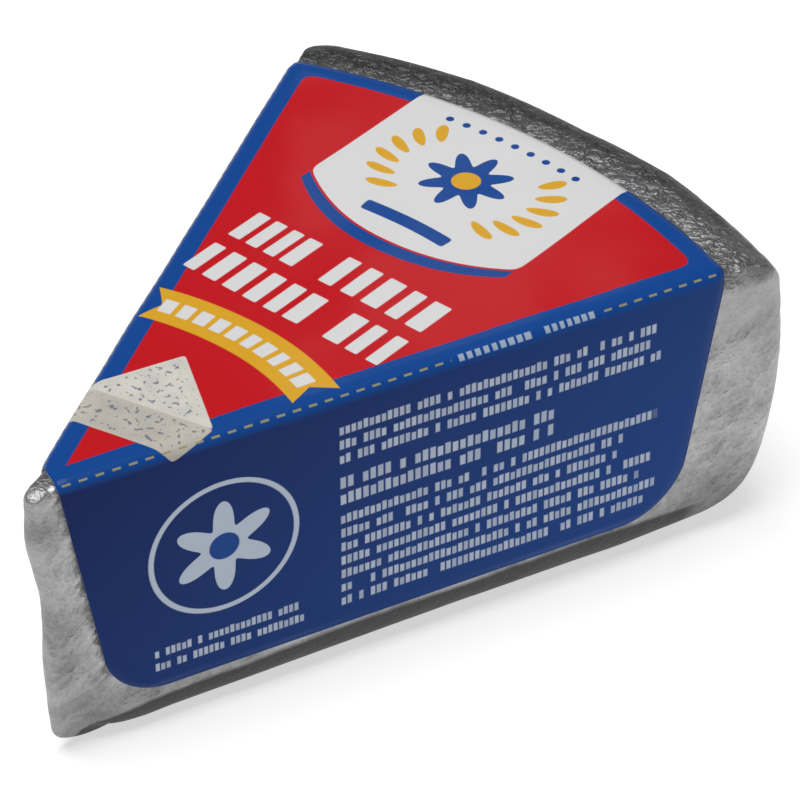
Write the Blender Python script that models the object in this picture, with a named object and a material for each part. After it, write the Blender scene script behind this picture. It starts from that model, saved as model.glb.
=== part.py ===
"""A wedge of blue cheese wrapped in foil, with a printed label folded over its top and cut faces.

The wedge points along -Y, its curved rind side faces +Y, and it stands on the XY plane.
Everything is in metres.
"""

import math

import bmesh
import bpy
import numpy as np
from mathutils import Vector, noise

MM = 0.001

# The wedge, as cut from its wheel
WHEEL_RADIUS = 105.4 * MM
HALF_OPENING = math.radians(22.3)
HEIGHT = 42.25 * MM
APEX_Y = -53.8 * MM  # the wheel's axis, where the label's two folds would meet

# How the foil rounds the wedge off
TOP_EDGE = 1.8 * MM  # along the cut faces and the nose
TOP_RIM_EDGE = 5.0 * MM
BASE_EDGE_SHARES = (0.0, 0.02, 0.06, 0.2, 0.4, 1.0)  # along a cut face, from nose to rim
BASE_EDGES = (1.2 * MM, 4.8 * MM, 5.8 * MM, 5.3 * MM, 5.6 * MM, 8.0 * MM)  # high and deep
BASE_RIM_HEIGHT, BASE_RIM_DEPTH = 16.0 * MM, 7.5 * MM
RIM_BELLY = 1.5 * MM
RIM_CORNER, RIM_CORNER_LEAST = 4.0 * MM, 1.2 * MM
RIM_CORNER_SHRINK = 0.6  # of the corner's radius, for each unit of inset
RIM_CORNER_SPREAD = 5.5 * MM  # what the corner's radius gains from the top down to the base

# The nose, where the foil is pinched: its radius, its reach past a plain rounding, its lean
# towards -X, and how far back from the front both have faded out
NOSE_LEVELS = (0.0, 0.25, 0.4, 0.55, 0.67, 0.83, 1.0)  # shares of the height
NOSE_RADII = (0.8 * MM, 1.4 * MM, 2.0 * MM, 2.0 * MM, 1.8 * MM, 1.6 * MM, 1.5 * MM)
NOSE_REACHES = (-2.3 * MM, 0.9 * MM, 1.5 * MM, 0.7 * MM, 0.6 * MM, 1.5 * MM, 2.1 * MM)
NOSE_LEANS = (1.5 * MM, 0.1 * MM, 0.0, 0.0, 0.0, 0.0, 0.0)
NOSE_FADES = (9.0 * MM, 7.0 * MM, 6.4 * MM, 5.2 * MM, 4.3 * MM, 3.9 * MM, 3.5 * MM)
NOSE_LEAST, NOSE_SHRINK = 0.8 * MM, 0.75

# Relief of the foil where no label holds it flat
DENT_SIZE, DENT_DEPTH = 9.0 * MM, 0.55 * MM
CREASE_SIZE, CREASE_DEPTH = 4.2 * MM, 0.45 * MM
CREASE_STRETCH = 2.2  # creases run level, this much longer than they are high
CREASE_BEND = 0.5  # of their own size, by the dents
CREASE_PLACE = Vector((7, 3, 11))
RELIEF_FADE = 2.5 * MM  # from the label's edge outwards
RELIEF_UNDER_LABEL = 0.25
RELIEF_FLOOR_FADE = 2.0 * MM  # from the flat base upwards
BARE_FOOT = 1.5 * MM  # of the flap's lowest edge, where the relief already shows

# The label
LABEL_GAP = 0.3 * MM
LABEL_THICKNESS = 0.25 * MM
LABEL_RADIUS = 94.9 * MM  # its curved edge, about the wheel's axis
LABEL_NOSE = 6.0 * MM  # its straight front edge, ahead of the apex
LABEL_NOSE_SKEW = 0.42  # how far that edge comes forward, for each unit towards +X
FLAP_DEPTH = 35.2 * MM
FLAP_NOSE_TAPER = 0.155
FLAP_RIM_TAPER = 0.165
FLAP_NOSE_CORNER = 6.5 * MM
FLAP_RIM_CORNER = 8.0 * MM

# How finely each stretch is divided
NOSE_STEPS, FACE_STEPS, CORNER_STEPS, RIM_STEPS = 7, 34, 5, 19
BASE_EDGE_STEPS, WALL_STEPS, TOP_EDGE_STEPS = 5, 13, 4
MARGIN_INSETS = (2.2 * MM, 4.4 * MM, 6.6 * MM)  # rings on the flat top, past the rim's rounding
MARGIN_FACE_SHARE = 0.35
FLAP_STEPS, FOLD_STEPS, TOP_STEPS, LABEL_ROWS = 9, 5, 12, 22

SIN, COS = math.sin(HALF_OPENING), math.cos(HALF_OPENING)
ALONG_FACE = np.array([SIN, COS])
OUT_OF_FACE = np.array([COS, -SIN])
AXIS = np.array([0, APEX_Y])
FOIL_APEX = np.array([0, APEX_Y + (LABEL_GAP + LABEL_THICKNESS) / SIN])

FOIL_COLOUR = (0.62, 0.62, 0.63, 1)
PRINT_COLOUR = (0.02, 0.06, 0.30, 1)


def clear_scene():
    for obj in list(bpy.data.objects):
        bpy.data.objects.remove(obj, do_unlink=True)


def material(name, colour, roughness, metallic):
    made = bpy.data.materials.new(name)
    made.use_nodes = True
    shader = made.node_tree.nodes["Principled BSDF"]
    shader.inputs["Base Color"].default_value = colour
    shader.inputs["Roughness"].default_value = roughness
    shader.inputs["Metallic"].default_value = metallic
    return made


def smoothstep(value):
    value = np.clip(value, 0, 1)
    return value * value * (3 - 2 * value)


def arc(centre, radius, start, end, steps):
    angles = np.linspace(start, end, steps + 1)
    return centre + radius * np.stack([np.cos(angles), np.sin(angles)], -1)


def mirrored_round(half):
    """Carries values given for half of a ring, nose to rim, on round its other half."""
    return np.concatenate([half, half[-2:0:-1]])


def face_shares():
    """For each point of a ring, 0 at the nose, rising along the cut face to 1 at the corner."""
    return mirrored_round(np.concatenate([
        np.zeros(NOSE_STEPS), np.linspace(0, 1, FACE_STEPS + 1), np.ones(CORNER_STEPS + RIM_STEPS),
    ]))


def rim_shares():
    """For each point of a ring, 0 along the cut face and the nose, and 1 along the rim."""
    return mirrored_round(np.concatenate([
        np.zeros(NOSE_STEPS + FACE_STEPS),
        smoothstep(np.linspace(0, 1, CORNER_STEPS + 1)), np.ones(RIM_STEPS),
    ]))


def outline(face_inset, rim_inset, nose_radius, corner_radius):
    """The wedge seen from above, from the nose round by +X and back."""
    nose_radius = max(nose_radius - NOSE_SHRINK * face_inset, NOSE_LEAST)
    corner_radius = max(corner_radius - RIM_CORNER_SHRINK * face_inset, RIM_CORNER_LEAST)
    nose = FOIL_APEX + ((nose_radius + face_inset) / SIN) * np.array([0, 1])
    rim_radius = WHEEL_RADIUS - rim_inset
    to_axis = (FOIL_APEX - AXIS)[1]
    depth = face_inset + corner_radius
    across = depth - to_axis * SIN
    reach = math.sqrt((rim_radius - corner_radius) ** 2 - across**2) - to_axis * COS
    corner = FOIL_APEX + reach * ALONG_FACE - depth * OUT_OF_FACE
    corner_angle = math.pi / 2 - math.atan2(corner[0], (corner - AXIS)[1])
    face_start = nose + nose_radius * OUT_OF_FACE
    face_end = corner + corner_radius * OUT_OF_FACE
    shares = np.linspace(0, 1, FACE_STEPS + 1)[:-1, None]
    half = np.concatenate([
        arc(nose, nose_radius, -math.pi / 2, -HALF_OPENING, NOSE_STEPS)[:-1],
        face_start + (face_end - face_start) * shares,
        arc(corner, corner_radius, -HALF_OPENING, corner_angle, CORNER_STEPS)[:-1],
        arc(AXIS, rim_radius, corner_angle, math.pi / 2, RIM_STEPS),
    ])
    return np.concatenate([half, half[-2:0:-1] * (-1, 1)])


def ring(face_insets, rim_inset, heights):
    """One closed ring of points; each is inset by its own share of the deepest face inset."""
    nose_height = heights[0] / HEIGHT
    radius = np.interp(nose_height, NOSE_LEVELS, NOSE_RADII)
    deepest = max(face_insets.max(), 1e-9)
    rim_height = heights[len(heights) // 2] / HEIGHT
    corner = RIM_CORNER + RIM_CORNER_SPREAD * (1 - rim_height) ** 2
    outer = outline(0, rim_inset, radius, corner)
    inner = outline(deepest, rim_inset, radius, corner)
    points = outer + (inner - outer) * (face_insets / deepest)[:, None]
    from_front = points[:, 1] - outer[:, 1].min()
    shift = [np.interp(nose_height, NOSE_LEVELS, sizes) for sizes in (NOSE_LEANS, NOSE_REACHES)]
    fade = np.interp(nose_height, NOSE_LEVELS, NOSE_FADES)
    points -= (1 - smoothstep(from_front / fade))[:, None] * shift
    return np.column_stack([points, heights])


def belly_inset(height):
    return RIM_BELLY * (1 - math.sin(math.pi * height / HEIGHT))


def rings():
    """Every ring of the foil, from the edge of the flat base up to the flat top under the label."""
    found = []
    on_rim = rim_shares()
    base_edges = np.interp(face_shares(), BASE_EDGE_SHARES, BASE_EDGES)
    base_heights = base_edges + (BASE_RIM_HEIGHT - base_edges) * on_rim
    top_heights = TOP_EDGE + (TOP_RIM_EDGE - TOP_EDGE) * on_rim
    for turn in np.linspace(0, math.pi / 2, BASE_EDGE_STEPS + 1)[:-1]:
        inward, rise = 1 - math.sin(turn), 1 - math.cos(turn)
        rim_inset = BASE_RIM_DEPTH * inward + belly_inset(BASE_RIM_HEIGHT * rise)
        found.append(ring(base_edges * inward, rim_inset, base_heights * rise))
    for share in np.linspace(0, 1, WALL_STEPS + 1):
        heights = base_heights + (HEIGHT - top_heights - base_heights) * share
        rim_height = heights[on_rim == 1][0]
        found.append(ring(0 * heights, belly_inset(rim_height), heights))
    full_inset = np.full_like(on_rim, TOP_EDGE)
    for turn in np.linspace(0, math.pi / 2, TOP_EDGE_STEPS + 1)[1:]:
        inward, drop = 1 - math.cos(turn), 1 - math.sin(turn)
        rim_inset = TOP_RIM_EDGE * inward + belly_inset(HEIGHT - TOP_RIM_EDGE * drop)
        found.append(ring(full_inset * inward, rim_inset, HEIGHT - top_heights * drop))
    for inset in MARGIN_INSETS:
        rim_inset = TOP_RIM_EDGE + RIM_BELLY + inset
        found.append(ring(full_inset + inset * MARGIN_FACE_SHARE, rim_inset, 0 * on_rim + HEIGHT))
    return np.array(found)


def fold_radius(lift):
    return TOP_EDGE + lift


def virtual_apex(lift):
    return FOIL_APEX[1] - lift / SIN


def flat_apex(lift):
    """Where the fold lines of the unfolded label meet, on a sheet that lies lift above the foil."""
    return virtual_apex(lift) + (1 - math.pi / 4) * fold_radius(lift) / SIN


def front_edge(foot, ray):
    """How far along a ray from this foot the label's straight front edge lies."""
    return (APEX_Y + LABEL_NOSE - foot[1] - LABEL_NOSE_SKEW * foot[0]) / (
        ray[1] + LABEL_NOSE_SKEW * ray[0]
    )


def curved_edge(foot, ray):
    """How far along a ray from this foot the label's curved edge lies."""
    from_axis = foot - AXIS
    along = from_axis @ ray
    return math.sqrt(LABEL_RADIUS**2 - from_axis @ from_axis + along**2) - along


def flap_column(side, depth, lift):
    """The ends of the line that runs along the unfolded label at this depth past its fold."""
    mirror = np.array([side, 1])
    apex = np.array([0, flat_apex(lift)])
    ray = ALONG_FACE * mirror
    above = apex + min(depth, 0) * OUT_OF_FACE * mirror
    below = max(depth, 0)
    start = front_edge(above, ray) + FLAP_NOSE_TAPER * below + corner_cut(below, FLAP_NOSE_CORNER)
    end = curved_edge(above, ray) - FLAP_RIM_TAPER * below - corner_cut(below, FLAP_RIM_CORNER)
    foot = apex + depth * OUT_OF_FACE * mirror
    return foot + start * ray, foot + end * ray


def corner_cut(depth, radius):
    """What a round corner at the foot of the flap takes off its end, at this depth."""
    into = min(max(depth - (FLAP_DEPTH - radius), 0), radius)
    return radius - math.sqrt(radius**2 - into**2)


def wrapped(x, y, lift):
    """Folds a point of the unfolded label round the wedge, lift above the foil."""
    radius = fold_radius(lift)
    side = math.copysign(1, x)
    x = abs(x)
    from_apex = y - flat_apex(lift)
    depth = x * COS - from_apex * SIN
    top = HEIGHT + lift
    if depth < -radius * math.pi / 4:
        return Vector((side * x, y, top))
    turn = min(depth / radius + math.pi / 4, math.pi / 2)
    below = max(depth - radius * math.pi / 4, 0)
    inward = radius * (1 - math.sin(turn))
    along = x * SIN + from_apex * COS + (1 - math.pi / 4) * radius * COS / SIN
    place = along * ALONG_FACE - inward * OUT_OF_FACE
    height = top - radius * (1 - math.cos(turn)) - below
    return Vector((side * place[0], virtual_apex(lift) + place[1], height))


def bare(points):
    """How far each point of the foil lies outside the label, negative under it."""
    x = np.abs(points[:, 0])
    y = points[:, 1] - APEX_Y
    along = x * SIN + y * COS
    depth = HEIGHT - TOP_EDGE - points[:, 2]
    start = LABEL_NOSE / COS + FLAP_NOSE_TAPER * depth
    end = LABEL_RADIUS - FLAP_RIM_TAPER * depth
    on_face = np.maximum.reduce([start - along, along - end, depth - FLAP_DEPTH + BARE_FOOT])
    on_top = np.maximum(np.hypot(x, y) - LABEL_RADIUS, LABEL_NOSE - y)
    return np.where(depth > 0, on_face, on_top)


def relief(point):
    """Height of the foil's dents and creases at a point, in metres."""
    dents = noise.noise(point / DENT_SIZE)
    squeezed = Vector((point.x, point.y, point.z * CREASE_STRETCH)) / (CREASE_SIZE * CREASE_STRETCH)
    bent = squeezed + CREASE_BEND * Vector((dents, dents, dents))
    creases = 0.5 - abs(noise.noise(bent + CREASE_PLACE)) * 2
    return DENT_DEPTH * dents + CREASE_DEPTH * creases


def crumpled(grid):
    """Moves each point of the rings along the surface's normal by the foil's relief."""
    up = np.gradient(grid, axis=0)
    around = (np.roll(grid, -1, axis=1) - np.roll(grid, 1, axis=1)) / 2
    normal = np.cross(around, up)
    normal /= np.maximum(np.linalg.norm(normal, axis=-1, keepdims=True), 1e-12)
    points = grid.reshape(-1, 3)
    fade = smoothstep(bare(points) / RELIEF_FADE) * (1 - RELIEF_UNDER_LABEL) + RELIEF_UNDER_LABEL
    fade *= smoothstep(points[:, 2] / RELIEF_FLOOR_FADE)
    heights = np.array([relief(Vector(p)) for p in points]) * fade
    heights = heights.reshape(grid.shape[:2])
    heights[-1] = 0
    return grid + normal * heights[..., None]


def foil_wedge(finish):
    grid = crumpled(rings())
    mesh = bmesh.new()
    loops = [[mesh.verts.new(point) for point in level] for level in grid]
    for lower, upper in zip(loops, loops[1:]):
        for i in range(len(lower)):
            j = (i + 1) % len(lower)
            mesh.faces.new((lower[i], lower[j], upper[j], upper[i]))
    mesh.faces.new(reversed(loops[0]))
    mesh.faces.new(loops[-1])
    return placed("foil_wedge", mesh, finish)


def label_columns(lift):
    """Lines of the unfolded label from its nose edge to its curved edge, left flap to right flap."""
    fold = fold_radius(lift) * math.pi / 4
    share = np.linspace(0, 1, FLAP_STEPS + 1)[1:]
    flap = fold + (FLAP_DEPTH - fold) * np.sin(share * math.pi / 2)
    depths = np.concatenate([np.linspace(-fold, fold, FOLD_STEPS + 1), flap])
    foot = np.array([0, flat_apex(lift) + fold / SIN])
    top = []
    for angle in np.linspace(-HALF_OPENING, HALF_OPENING, TOP_STEPS + 1)[1:-1]:
        ray = np.array([math.sin(angle), math.cos(angle)])
        top.append((foot + front_edge(foot, ray) * ray, foot + curved_edge(foot, ray) * ray))
    left = [flap_column(-1, depth, lift) for depth in reversed(depths)]
    right = [flap_column(1, depth, lift) for depth in depths]
    return left + top + right


def label(finish):
    mesh = bmesh.new()
    columns = []
    for start, end in label_columns(LABEL_GAP):
        flat = [start + (end - start) * share for share in np.linspace(0, 1, LABEL_ROWS + 1)]
        columns.append([mesh.verts.new(wrapped(x, y, LABEL_GAP)) for x, y in flat])
    for left, right in zip(columns, columns[1:]):
        for i in range(LABEL_ROWS):
            mesh.faces.new((left[i], right[i], right[i + 1], left[i + 1]))
    made = placed("label", mesh, finish)
    thicken = made.modifiers.new("Thickness", "SOLIDIFY")
    thicken.thickness = LABEL_THICKNESS
    thicken.offset = 1
    return made


def placed(name, mesh, finish):
    data = bpy.data.meshes.new(name)
    mesh.to_mesh(data)
    mesh.free()
    data.materials.append(finish)
    data.shade_smooth()
    made = bpy.data.objects.new(name, data)
    bpy.context.scene.collection.objects.link(made)
    return made


def main():
    clear_scene()
    foil_wedge(material("foil", FOIL_COLOUR, roughness=0.38, metallic=1.0))
    label(material("printed_film", PRINT_COLOUR, roughness=0.25, metallic=0.0))


main()
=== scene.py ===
"""Looks of a foil-wrapped wedge of blue cheese: crinkled foil, and a glossy printed label folded
over its top and both cut faces.

The wedge points along -Y, its curved rind side faces +Y, and it stands on the XY plane. Solids
are in metres. The print is laid out on the unfolded label in millimetres, from the wheel's axis:
x across, y towards the rim, and beyond each fold its depth down the face and its way along it.
"""

import math
from collections import namedtuple

import bpy
import numpy as np
from mathutils import Matrix, Vector, noise


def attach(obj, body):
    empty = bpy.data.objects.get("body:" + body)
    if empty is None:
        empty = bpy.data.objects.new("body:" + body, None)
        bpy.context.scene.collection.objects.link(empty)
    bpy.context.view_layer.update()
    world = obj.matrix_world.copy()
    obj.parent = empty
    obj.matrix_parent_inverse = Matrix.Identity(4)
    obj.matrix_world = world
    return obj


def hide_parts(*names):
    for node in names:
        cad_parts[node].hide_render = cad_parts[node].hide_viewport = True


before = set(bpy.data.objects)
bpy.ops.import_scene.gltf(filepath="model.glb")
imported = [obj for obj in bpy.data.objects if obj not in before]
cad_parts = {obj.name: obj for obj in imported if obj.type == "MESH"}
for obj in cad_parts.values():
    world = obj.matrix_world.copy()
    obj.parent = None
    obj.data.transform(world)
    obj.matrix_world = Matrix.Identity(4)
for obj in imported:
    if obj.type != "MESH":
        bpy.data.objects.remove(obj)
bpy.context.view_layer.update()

MM = 0.001

# The wedge, as cut from its wheel
WHEEL_RADIUS = 106.4 * MM
HALF_OPENING = math.radians(22.3)
HEIGHT = 42.25 * MM
APEX_Y = -53.8 * MM  # the wheel's axis

# How the foil rounds the wedge off
TOP_EDGE = 1.1 * MM  # along the cut faces and the nose
TOP_RIM_TURNS = (-22, -9, 1, 9, 16, 22)  # degrees round the wheel's axis, from +Y towards +X
TOP_RIM_EDGES = (4.5 * MM, 3.9 * MM, 5.5 * MM, 4.7 * MM, 6.5 * MM, 8.0 * MM)
BASE_EDGE_SHARES = (0.0, 0.01, 0.03, 0.06, 0.1, 0.14, 0.3, 0.6, 0.88, 1.0)  # nose to rim
BASE_EDGES = tuple(
    size * MM for size in (4.0, 5.4, 5.8, 5.0, 4.8, 5.1, 5.5, 6.2, 6.1, 7.1)
)  # high and deep, along a cut face
BASE_RIM_HEIGHT, BASE_RIM_DEPTH = 21.6 * MM, 9.9 * MM
RIM_BELLY = 2.1 * MM  # how far the rim's top and foot lie in from where it is fullest
BELLY_RISE = 1.2  # it is fullest where this power of the height's share is a half
RIM_CORNER, RIM_CORNER_LEAST = 4.3 * MM, 1.2 * MM
RIM_CORNER_SHRINK = 0.6  # of the corner's radius, for each unit of inset
RIM_CORNER_SPREAD = 6.7 * MM  # what the corner's radius gains from the top down to the base

# The nose, where the foil is pinched: its radius, its reach past a plain rounding, its lean
# towards -X, and how far back from the front both have faded out
NOSE_LEVELS = (0.0, 0.25, 0.4, 0.55, 0.67, 0.83, 1.0)  # shares of the height
NOSE_RADII = (1.0 * MM, 1.5 * MM, 2.0 * MM, 2.0 * MM, 1.8 * MM, 1.6 * MM, 1.5 * MM)
NOSE_REACHES = (-1.4 * MM, 1.2 * MM, 1.5 * MM, 0.8 * MM, 1.2 * MM, 2.5 * MM, 1.7 * MM)
NOSE_LEANS = (0.9 * MM, -0.4 * MM, 0.0, 0.0, 0.0, 0.0, 0.0)
NOSE_FADES = (12.0 * MM, 9.0 * MM, 6.4 * MM, 5.2 * MM, 4.3 * MM, 3.9 * MM, 3.5 * MM)
NOSE_LEAST, NOSE_SHRINK = 0.8 * MM, 0.75  # of its radius, and what that loses with the inset
NOSE_EASE = np.linspace(-0.09, 0.09, 9)  # shares, up and down, that each value is averaged over

# The foil's relief: dents and slanting creases over all of it, then pebbling, and sharp crinkles
# where it was gathered round the top edge and the nose's tip
DENT_SIZE, DENT_DEPTH = 9.0 * MM, 0.20 * MM
CREASE_SIZE, CREASE_DEPTH = 4.2 * MM, 0.13 * MM
CREASE_SLANT = math.radians(30)  # they rise from the nose towards the rim
CREASE_STRETCH = 1.6  # and are this much longer than they are high
CREASE_BEND = 0.2  # of their own size, by the dents
CREASE_PLACE = Vector((7, 3, 11))  # where in the noise they are taken, apart from the dents
PEBBLE_SIZE, PEBBLE_DEPTH = 1.5 * MM, 0.065 * MM
CRINKLE_SIZE, CRINKLE_DEPTH = 1.2 * MM, 0.15 * MM
CRINKLE_BEND, CRINKLE_BEND_SIZE = 0.6, 2.2  # both for each unit of their size
CRINKLE_SEED = 5  # of noise_vector, which bends them and else starts from the clock
CRINKLE_RIDGE = 0.5  # how high their sharp ridges are, for each unit of their depth
COARSE_RATE, COARSE_SHARE = 0.6, 1.6  # how closely the coarse ones come, and how deep they are
FINE_RATE, FINE_SHARE = 1.3, 0.9
CRINKLE_DROP = 5.0 * MM  # below the top, where the crinkles have faded out
CRINKLE_REACH, CRINKLE_END = 3.5 * MM, 9.0 * MM  # full and faded out, from the label's edge
RELIEF_FADE = 2.5 * MM  # from the label's edge outwards, for the dents and creases
FINE_FADE = 0.8 * MM  # and for the pebbling and the crinkles
RELIEF_UNDER_LABEL = 0.25  # what is left of the dents and creases there
CALM_BAND = 7.0 * MM  # from the label's curved edge out to where the foil is drawn smooth
CALM_DROP = 2 * CALM_BAND  # below the top, where it is as crumpled as the rest
CALM_SHARE = 0.8  # of its relief that is lost where it is drawn smooth
CRINKLED_END, CRINKLED_FADE = 14 * MM, 14 * MM  # from this X on it turns crinkled all the same
CRINKLED_DROP, CRINKLED_REACH = 0.7, 0.6  # how much further down and out the crinkles reach there
CALM_NOSE = 0.35  # what is left of the dents and the pebbling on the nose's round front
NOSE_FRONT, NOSE_FRONT_FADE = 4.0 * MM, 2.5 * MM  # along the face: its end, and the way past it
NOSE_CRUSH, NOSE_CRUSH_END = 1.3, 18.0 * MM  # how much deeper the dents are behind that front
RELIEF_FLOOR_FADE = 7.0 * MM  # from the flat base upwards
BARE_FOOT = 1.5 * MM  # above the flap's lowest edge, from where the relief already shows

# The label
LABEL_LIFT = 0.55 * MM  # of its printed side, off the foil
LABEL_THICKNESS = 0.16 * MM
LABEL_TUCK, LABEL_TUCK_WIDTH = 0.22 * MM, 1.4 * MM  # how its edges press down onto the foil
FOLD_RADIUS = TOP_EDGE + LABEL_LIFT
HALF_FOLD = FOLD_RADIUS * math.pi / 4  # along the film, from a fold's middle to where it ends
FOLD_SAVING = 1 - math.pi / 4  # what half a fold saves of its sharp corner, for each unit of radius
LABEL_RADIUS = 95.35 * MM  # its curved edge
LABEL_SHIFT = -1.25 * MM  # that edge's centre, in X from the wheel's axis
LABEL_NOSE = 6.0 * MM  # its straight front edge, ahead of the apex
LABEL_NOSE_SKEW = 0.42  # how far that edge comes forward, for each unit towards +X
FLAP_DEPTH = 35.65 * MM
FLAP_NOSE_TAPER = 0.155  # what the flap loses at that end, for each unit of depth
FLAP_RIM_TAPER = 0.165
FLAP_RIM_REACH, FLAP_RIM_EASE = 0.33 * MM, 3.0 * MM  # past the curved edge, just below the fold
FLAP_NOSE_CORNER = 7.0 * MM
FLAP_RIM_CORNER = 8.0 * MM
WAVE_SIZE, WAVE_DEPTH = 14.0 * MM, 0.20 * MM  # the film's slack

# How finely each stretch is divided
NOSE_STEPS, FACE_STEPS, CORNER_STEPS, RIM_STEPS = 12, 205, 22, 95
BASE_EDGE_STEPS, WALL_STEPS, TOP_EDGE_STEPS = 12, 58, 10
MARGIN_STEPS, MARGIN_INSET = 16, 6.6 * MM  # rings on the flat top, past the rim's rounding
MARGIN_FACE_SHARE = 0.35
FLAP_STEPS, FOLD_STEPS, TOP_STEPS, LABEL_ROWS = 44, 12, 60, 130

SIN, COS = math.sin(HALF_OPENING), math.cos(HALF_OPENING)
ALONG_FACE = np.array([SIN, COS])
OUT_OF_FACE = np.array([COS, -SIN])
AXIS = np.array([0, APEX_Y])
FOIL_APEX = np.array([0, APEX_Y + LABEL_LIFT / SIN])
FLAT_APEX = APEX_Y + FOLD_SAVING * FOLD_RADIUS / SIN  # where the unfolded label's folds meet

# The map that the print is laid out on, in millimetres of the unfolded label
PRINT_MAP = "OFBake"
SHEET_SIDE, SHEET_LEFT, SHEET_FOOT = 144, -72, -30
BACK_SCALE, BACK_CORNER = 0.15, 0.01  # the label's back, in the map's free corner
BACK_X, BACK_Y = -49, -7  # where that corner ends, in sheet millimetres

# Printing inks and the film's back, as linear colours
BLUE = (0.006, 0.055, 0.248, 1)
# a darker blue laid over the flaps as painted shade
FLAP_SHADE_NAVY = (0.0012, 0.011, 0.090, 1)
RED = (0.46, 0.008, 0.013, 1)
WHITE = (0.60, 0.60, 0.60, 1)
SILVER_INK = (0.54, 0.61, 0.71, 1)
FAINT_INK = (0.30, 0.37, 0.48, 1)
YELLOW = (0.60, 0.32, 0.020, 1)
DASH_YELLOW = (0.29, 0.27, 0.14, 1)
IVORY = (0.57, 0.55, 0.50, 1)
IVORY_SHADE = (0.46, 0.43, 0.38, 1)
VEIN = (0.08, 0.11, 0.16, 1)
BACKING = (0.50, 0.50, 0.49, 1)

# The film's gloss
FILM_CLOUD_SIZE, FILM_BUMP = 6 * MM, 0.02 * MM
FILM_ROUGHNESS, FILM_CLOUDS = 0.34, 0.10  # at its least, and what the clouds add

# The foil's colours: its sides and a painted highlight on their folds, its painted shade, and the
# gathered foil round the rim's top edge, pale and painted dark with shade
FOIL_DULL = (0.26, 0.26, 0.262, 1)
# painted highlight on the crests of the folds
FOIL_PAINTED_LIGHT = (0.50, 0.50, 0.503, 1)
FOIL_SHADE = (0.07, 0.07, 0.072, 1)
GATHERED_PALE = (0.33, 0.33, 0.333, 1)
GATHERED_SHADE = (0.10, 0.10, 0.102, 1)

# Where the foil's finish changes, in millimetres up, along a cut face or out from the wheel's
# axis. An edge is its place and its blur
RIM_END = (32, 8)  # in X: past it the gathered foil comes further down and is paler
RIM_END_DROP, RIM_END_PALER = 1.3, 0.25
GATHERED_DROP, GATHERED_RAGGED, GATHERED_BLUR = 2.0, 3.2, 1.6  # its lower edge, below the top
GATHERED_START = (90, 4)
DARK_START, DARK_SLANT, DARK_BLUR = 97.2, 0.05, 5.0  # its outer part, dark as painted shade, the slant along X
WRINKLE_LINES, WRINKLE_SHADE = (0.03, 0.06), 0.75  # painted shade in lines where the wrinkles are lowest
# painted shade in patches over the gathered foil
CLOUD_PATCHES, CLOUD_SHADE = (-0.02, 0.12), 0.5
# painted shade over the nose's round front, up to where it ends along the face
NOSE_FACE, NOSE_FACE_SHADE = (5.0, 1.8), 0.12
CALM_FOOT, CALM_START = (30, 16), (93, 6)
UNDERSIDE_RISES = ((3.0, (6.4, 5)), (2.2, (10.5, 11)), (0.9, (31, 22)))  # painted shade along the underside: how far up it reaches, past each edge
UNDERSIDE_RAGGED, UNDERSIDE_BLUR = 0.8, 0.8
UNDERSIDE_END, UNDERSIDE_END_SLOPE = 94.5, 0.12
# painted shade at the rim's foot
RIM_FOOT, RIM_FOOT_START, RIM_FOOT_SHADE = (7, 11), (87, 10), 0.85
# painted shade at the nose's foot
NOSE_FOOT, NOSE_FOOT_END, NOSE_FOOT_SHADE = (8, 7), (27, 20), 0.36
EDGE_SHADE_PLACE, EDGE_SHADE_HALF, EDGE_SHADE_BLUR, EDGE_SHADE_STRENGTH = -0.5, 0.6, 0.8, 0.6  # painted shade in a line beside the label's front edge
EDGE_SHADE_RAGGED, EDGE_SHADE_MIDDLE, EDGE_SHADE_FOOT = 3, 0.05, 11

# How the foil's finish is crumpled, and how strongly each part of that is painted into its
# colour as highlight and shade
CLOUD_SIZE, FOLD_SIZE, WRINKLE_SIZE, GRAIN_SIZE = 10 * MM, 6 * MM, 2 * MM, 0.45 * MM
FOLD_SQUEEZE = 0.6  # of the slanting folds, in height
FOLD_BUMP, PEBBLE_BUMP, GRAIN_BUMP, WRINKLE_BUMP = 1.3, 0.38, 0.17, 1.5
CALM_BUMP_LOSS, CALM_SHINE_LOSS = 0.7, 0.6
FOLD_SHINE, PEBBLE_SHINE, GRAIN_SHINE = 1.7, 0.8, 0.8
FOIL_ROUGHNESS, CLOUD_ROUGHNESS, GATHERED_ROUGHNESS = 0.53, 0.10, 0.03

# The print's layout, in sheet millimetres. A bar is its start, end, middle, height and corner
PRINT_BLUR = 0.12
HAIR_BLUR = 0.01  # for a step that has no width to be seen
NAVY_START, NAVY_BLUR, NAVY_LEAST = 0.9, 0.9, 0.15  # the flaps' painted shade: where it starts down the flap, and its least strength
NAVY_SLANT, NAVY_FADE = 1.3, (62, 125)  # it fades along the fold, and sooner with the depth
PANEL_MARGIN, PANEL_RADIUS, PANEL_CORNER = 2.9, 92.6, 3.0  # red, inside its blue border
FIELD_SPAN = (-0.6, 16.8)  # white: its middle and half its width
FIELD_FOOT = (65.9, 28.0)  # where its round foot is lowest, and that foot's radius
FIELD_CORNER, FIELD_LINE = 1.5, 0.35  # the line of red round it
BAND_FOOT, BAND_INSET = (63.5, 27.0), 0.2
CREST_Y = 82.0
FLOWER_PETALS, FLOWER_RADIUS, FLOWER_SWING, FLOWER_HEART = 8, 4.7, 1.4, 1.9
SPRIG_RADIUS, SPRIG_SQUEEZE, SPRIG_LEAVES = 9.8, 0.84, 6
SPRIG_MIDDLE = math.radians(93.5)  # round from the top, on either side
LEAF_START, LEAF_PITCH = math.radians(85), math.radians(17)
LEAF_NARROW, LEAF_LONG, LEAF_SLANT, LEAF_RADIUS = 1.9, 0.85, 0.7, 1.45
CREST_BAR_RADIUS = 70.5
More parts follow.
